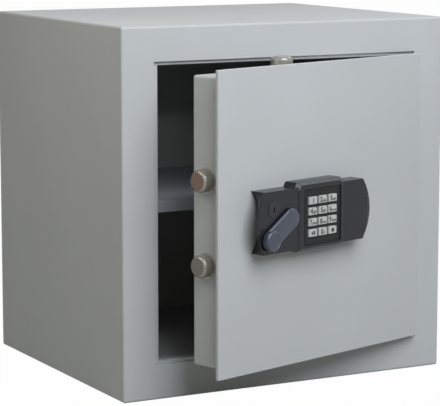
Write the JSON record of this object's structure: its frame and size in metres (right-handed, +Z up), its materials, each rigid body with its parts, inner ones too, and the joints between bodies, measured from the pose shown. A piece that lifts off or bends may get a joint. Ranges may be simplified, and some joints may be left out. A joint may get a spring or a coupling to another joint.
{
  "type": "safe deposit box",
  "caption": "Upright steel safe with a right-hung door standing ajar, round locking bolts, a turning lever, a digit keypad and a fixed inner shelf.",
  "frame": {"origin": "middle of the body's footprint, on the floor", "axes": "+Z up, +Y towards the back, -Y towards the front where the door is, +X towards the hinge side"},
  "size_m": [0.5, 0.5658, 0.5],
  "materials": {
    "shell_paint": "light grey powder coat, fine texture, satin",
    "liner_paint": "dark grey powder coat",
    "shelf_paint": "mid grey powder coat",
    "fire_board": "paper-faced gypsum board, matt",
    "plain_steel": "zinc-plated steel, satin",
    "dark_steel": "dark grey powder coat",
    "pin_steel": "ground steel, satin",
    "bright_bolt": "bright nickel plate, turned",
    "collar_steel": "zinc-plated steel, satin",
    "screw_steel": "blackened steel, satin",
    "bearing_bronze": "sintered bronze, matt",
    "lock_casting": "die-cast, matt",
    "housing_plastic": "dark grey moulding, fine texture",
    "panel_plastic": "near-black moulding, satin",
    "key_plastic": "light grey moulding, satin",
    "board_green": "solder resist, satin",
    "mat_rubber": "soft rubber, matt",
    "cell_sleeve": "printed sleeve, satin",
    "cylinder_brass": "blackened nickel on brass, satin",
    "lever_paint": "blue-grey metallic lacquer, satin"
  },
  "bodies": {
    "carcass": {"outer_shell": "shell_paint", "back_plate": "shell_paint", "rebate_frame": "shell_paint", "inner_liner": "liner_paint", "filling_boards": "fire_board", "anchor_sleeves": "plain_steel", "shelf": "shelf_paint", "shelf_rails": "shelf_paint", "hinge_lugs": "plain_steel", "hinge_pins": "pin_steel", "thrust_washers": "plain_steel"},
    "door": {"door_plate": "shell_paint", "door_case": "shell_paint", "door_back_cover": "shell_paint", "cover_screws": "screw_steel", "hard_plate": "plain_steel", "upper_hinge_arm": "dark_steel", "lower_hinge_arm": "dark_steel", "hinge_bushes": "bearing_bronze", "arm_screws": "screw_steel", "arm_backers": "plain_steel", "bolt_collars": "collar_steel", "guide_studs": "plain_steel", "spindle_bush": "bearing_bronze", "lock_case": "lock_casting", "lock_screws": "screw_steel", "lock_housing": "housing_plastic", "housing_screws": "screw_steel", "keypad_panel": "panel_plastic", "circuit_board": "board_green", "key_mat": "mat_rubber", "battery_cells": "cell_sleeve", "key_cylinder": "cylinder_brass"},
    "side_bolts": {"upper_side_bolt": "bright_bolt", "lower_side_bolt": "bright_bolt", "bolt_screws": "screw_steel", "side_carriage": "plain_steel"},
    "top_bolt": {"top_bolt": "bright_bolt", "top_rod": "plain_steel"},
    "bottom_bolt": {"bottom_bolt": "bright_bolt", "bottom_rod": "plain_steel"},
    "lever": {"lever": "lever_paint", "spindle": "plain_steel", "spindle_clip": "plain_steel", "drive_disc": "plain_steel"},
    "lock_bar": {"lock_bar": "plain_steel"},
    "cylinder_plug": {"cylinder_plug": "cylinder_brass"},
    "key_1": {"key_1": "key_plastic"},
    "key_2": {"key_2": "key_plastic"},
    "key_3": {"key_3": "key_plastic"},
    "key_4": {"key_4": "key_plastic"},
    "key_5": {"key_5": "key_plastic"},
    "key_6": {"key_6": "key_plastic"},
    "key_7": {"key_7": "key_plastic"},
    "key_8": {"key_8": "key_plastic"},
    "key_9": {"key_9": "key_plastic"},
    "key_left": {"key_left": "key_plastic"},
    "key_0": {"key_0": "key_plastic"},
    "key_right": {"key_right": "key_plastic"}
  },
  "joints": [
    {"name": "door_swing", "type": "hinge", "parent": "carcass", "child": "door", "pos_m": [0.236, -0.196, 0.25], "axis": [0, 0, 1], "range_deg": [-6.3, 72.7]},
    {"name": "lever_turn", "type": "hinge", "parent": "door", "child": "lever", "pos_m": [-0.06593, -0.33194, 0.2526], "axis": [-0.2974, 0.9548, 0], "range_deg": [0, 72]},
    {"name": "side_bolts_slide", "type": "slide", "parent": "door", "child": "side_bolts", "axis": [0.9548, 0.2974, 0], "range_m": [0, 0.017]},
    {"name": "top_bolt_slide", "type": "slide", "parent": "door", "child": "top_bolt", "axis": [0, 0, -1], "range_m": [0, 0.017]},
    {"name": "bottom_bolt_slide", "type": "slide", "parent": "door", "child": "bottom_bolt", "axis": [0, 0, 1], "range_m": [0, 0.017]},
    {"name": "lock_bar_slide", "type": "slide", "parent": "door", "child": "lock_bar", "axis": [0.9548, 0.2974, 0], "range_m": [-0.005, 0]},
    {"name": "cylinder_turn", "type": "hinge", "parent": "door", "child": "cylinder_plug", "pos_m": [-0.09498, -0.33889, 0.267], "axis": [0.2974, -0.9548, 0], "range_deg": [0, 90]},
    {"name": "key_1_press", "type": "slide", "parent": "door", "child": "key_1", "axis": [-0.2974, 0.9548, 0], "range_m": [0, 0.0008], "stiffness_N_per_m": 800},
    {"name": "key_2_press", "type": "slide", "parent": "door", "child": "key_2", "axis": [-0.2974, 0.9548, 0], "range_m": [0, 0.0008], "stiffness_N_per_m": 800},
    {"name": "key_3_press", "type": "slide", "parent": "door", "child": "key_3", "axis": [-0.2974, 0.9548, 0], "range_m": [0, 0.0008], "stiffness_N_per_m": 800},
    {"name": "key_4_press", "type": "slide", "parent": "door", "child": "key_4", "axis": [-0.2974, 0.9548, 0], "range_m": [0, 0.0008], "stiffness_N_per_m": 800},
    {"name": "key_5_press", "type": "slide", "parent": "door", "child": "key_5", "axis": [-0.2974, 0.9548, 0], "range_m": [0, 0.0008], "stiffness_N_per_m": 800},
    {"name": "key_6_press", "type": "slide", "parent": "door", "child": "key_6", "axis": [-0.2974, 0.9548, 0], "range_m": [0, 0.0008], "stiffness_N_per_m": 800},
    {"name": "key_7_press", "type": "slide", "parent": "door", "child": "key_7", "axis": [-0.2974, 0.9548, 0], "range_m": [0, 0.0008], "stiffness_N_per_m": 800},
    {"name": "key_8_press", "type": "slide", "parent": "door", "child": "key_8", "axis": [-0.2974, 0.9548, 0], "range_m": [0, 0.0008], "stiffness_N_per_m": 800},
    {"name": "key_9_press", "type": "slide", "parent": "door", "child": "key_9", "axis": [-0.2974, 0.9548, 0], "range_m": [0, 0.0008], "stiffness_N_per_m": 800},
    {"name": "key_left_press", "type": "slide", "parent": "door", "child": "key_left", "axis": [-0.2974, 0.9548, 0], "range_m": [0, 0.0008], "stiffness_N_per_m": 800},
    {"name": "key_0_press", "type": "slide", "parent": "door", "child": "key_0", "axis": [-0.2974, 0.9548, 0], "range_m": [0, 0.0008], "stiffness_N_per_m": 800},
    {"name": "key_right_press", "type": "slide", "parent": "door", "child": "key_right", "axis": [-0.2974, 0.9548, 0], "range_m": [0, 0.0008], "stiffness_N_per_m": 800}
  ],
  "couplings": [
    {"joint": "side_bolts_slide", "follows": "lever_turn", "m_per_rad": 0.013528},
    {"joint": "top_bolt_slide", "follows": "lever_turn", "m_per_rad": 0.013528},
    {"joint": "bottom_bolt_slide", "follows": "lever_turn", "m_per_rad": 0.013528}
  ]
}
